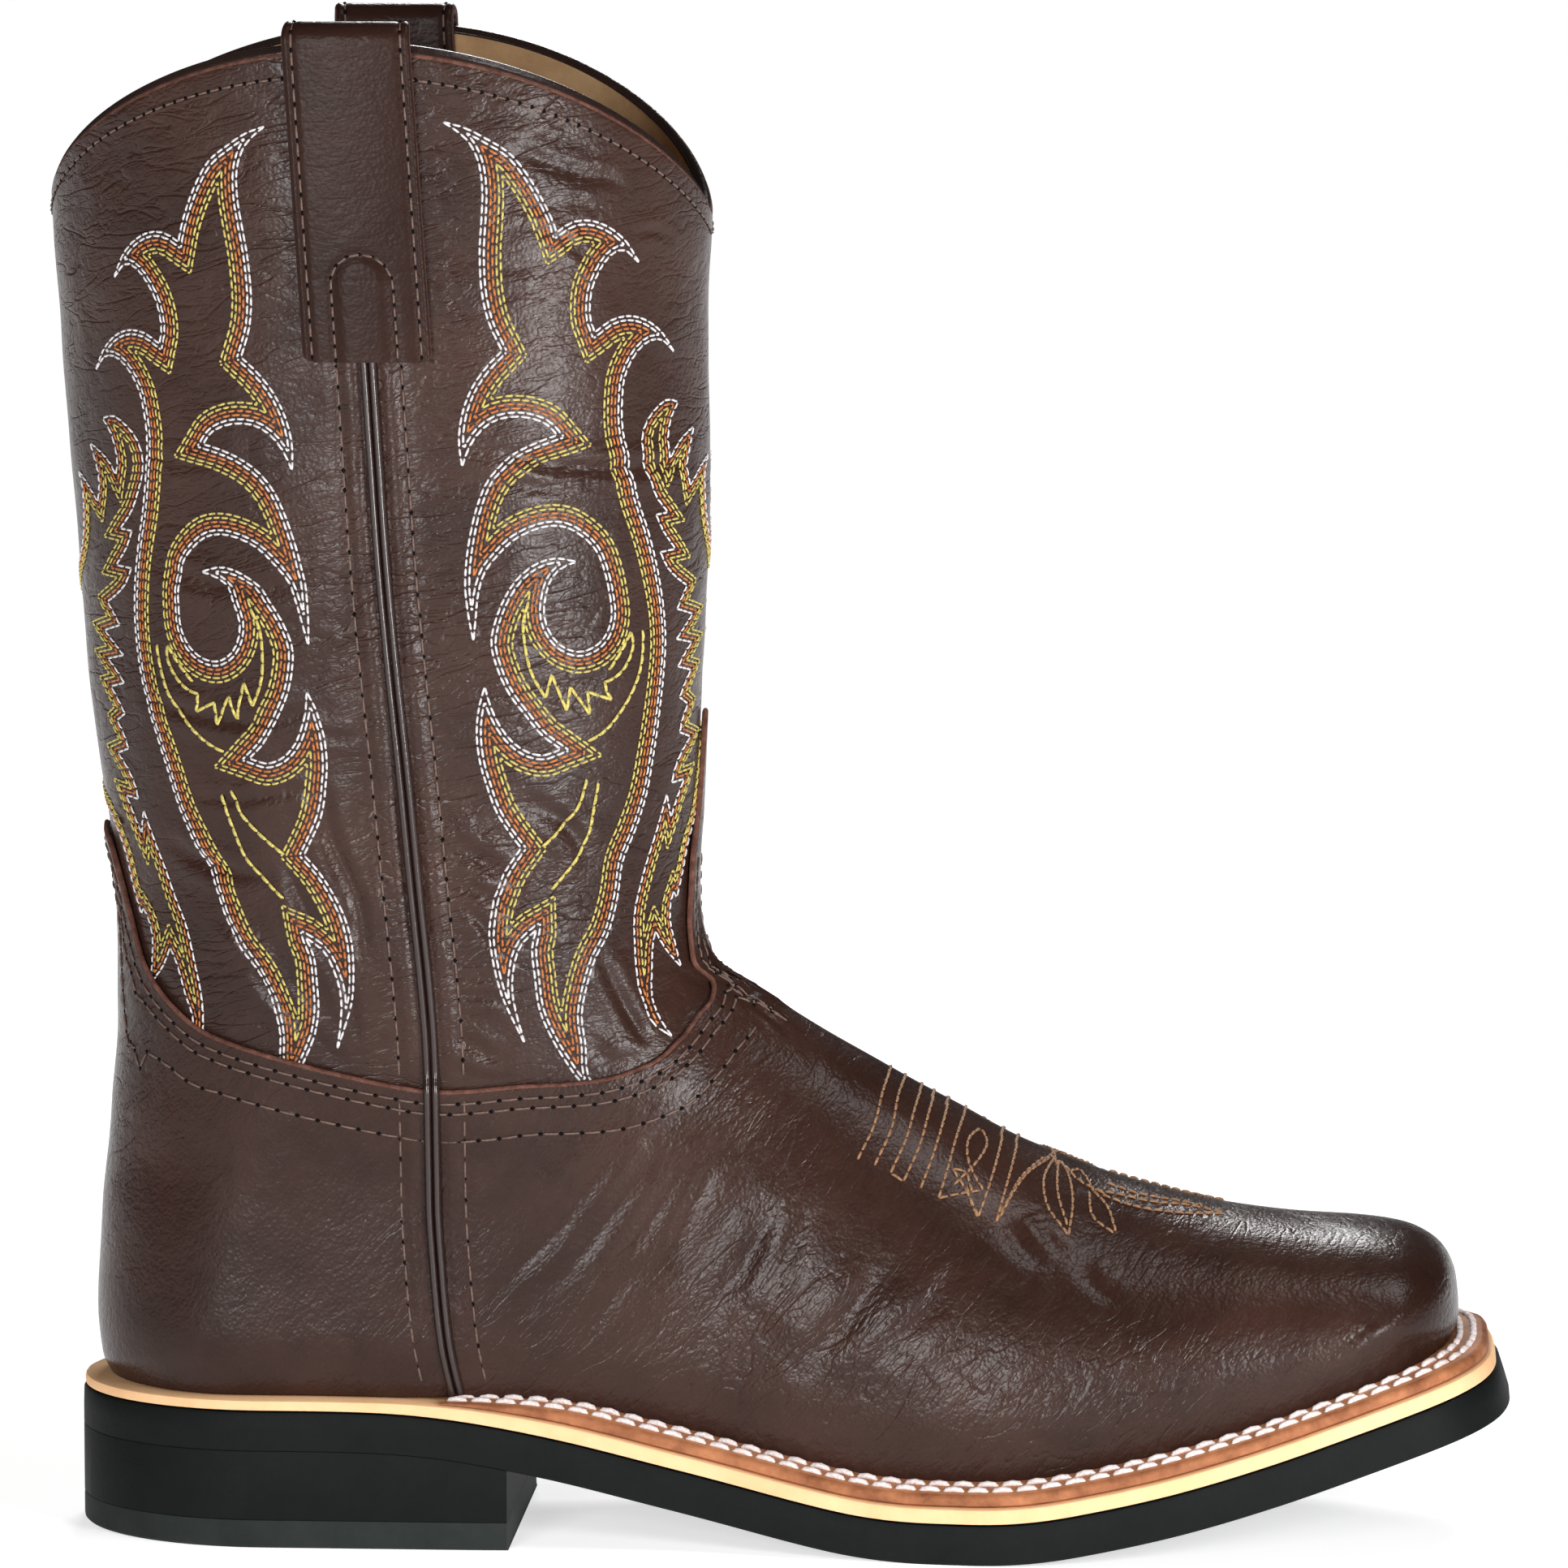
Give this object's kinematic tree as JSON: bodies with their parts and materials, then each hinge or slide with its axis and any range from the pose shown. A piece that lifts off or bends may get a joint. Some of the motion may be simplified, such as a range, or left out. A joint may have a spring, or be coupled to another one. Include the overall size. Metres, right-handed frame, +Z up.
{
  "type": "western boot",
  "caption": "Brown leather western boot with a tall scalloped shaft, pull straps, welted square-toe sole and low stacked heel.",
  "frame": {"origin": "middle of the heel's flat bottom face, on the floor", "axes": "+X towards the toe, -Y towards the lateral side of this right boot, +Z up"},
  "size_m": [0.3123, 0.1066, 0.325],
  "materials": {
    "upper_leather": "smooth dark brown leather, fine grain, soft sheen",
    "trim_leather": "near black rolled leather trim",
    "lining_leather": "tan lining leather, matte",
    "welt_leather": "brown welt with burnished edge",
    "midsole_leather": "light tan cut edge",
    "outsole_rubber": "black fine-ground rubber",
    "top_lift_rubber": "dark grey rubber",
    "thread": "sewing thread in white, orange, yellow and brown"
  },
  "bodies": {
    "root": {"outsole": "outsole_rubber", "heel_block": "outsole_rubber", "top_lift": "top_lift_rubber", "midsole": "midsole_leather", "welt": "welt_leather", "insole": "lining_leather", "upper": "upper_leather", "shaft": "upper_leather", "collar_binding": "trim_leather", "side_piping_lateral": "trim_leather", "side_piping_medial": "trim_leather", "pull_strap_lateral": "upper_leather", "pull_strap_medial": "upper_leather"}
  },
  "joints": []
}
